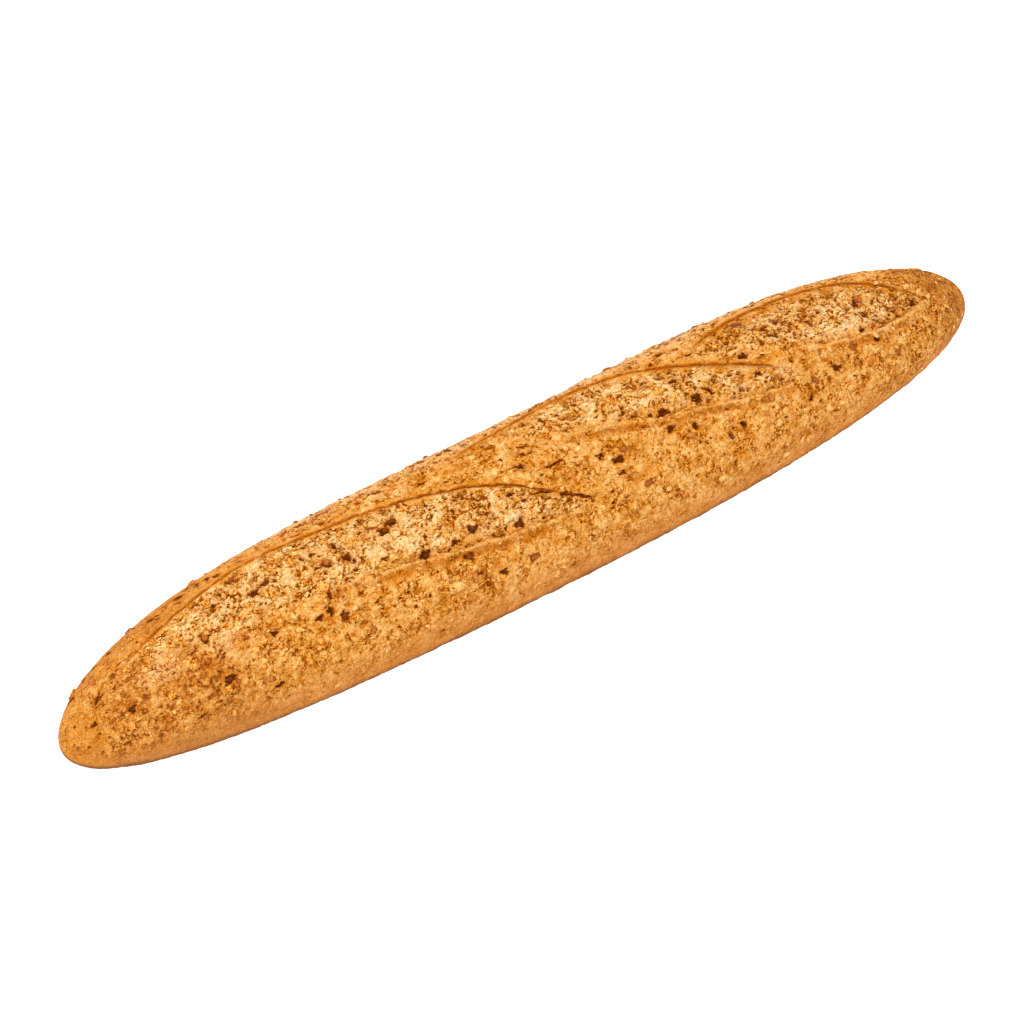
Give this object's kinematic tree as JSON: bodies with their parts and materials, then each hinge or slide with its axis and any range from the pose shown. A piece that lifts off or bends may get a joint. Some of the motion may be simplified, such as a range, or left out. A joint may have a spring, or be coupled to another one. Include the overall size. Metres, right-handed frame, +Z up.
{
  "type": "baguette",
  "caption": "Short multigrain baguette with blunt rounded ends, long slanting slashes with raised ears, and coarse grains and flakes baked into a golden crust.",
  "frame": {"origin": "on the surface the loaf rests on, under the middle of its length and width", "axes": "+X along the loaf towards its far end in the picture, +Y away from the viewer's side, +Z up through the slashed crown"},
  "size_m": [0.4, 0.0715, 0.0523],
  "materials": {
    "crust": "baked golden-orange crust, dry with a faint sheen",
    "flakes": "toasted oat and bran flakes, matt",
    "grains": "dark roasted cracked grains, slightly shiny",
    "seeds": "small round brown seeds, satin"
  },
  "bodies": {
    "root": {"loaf": "crust"}
  },
  "joints": []
}
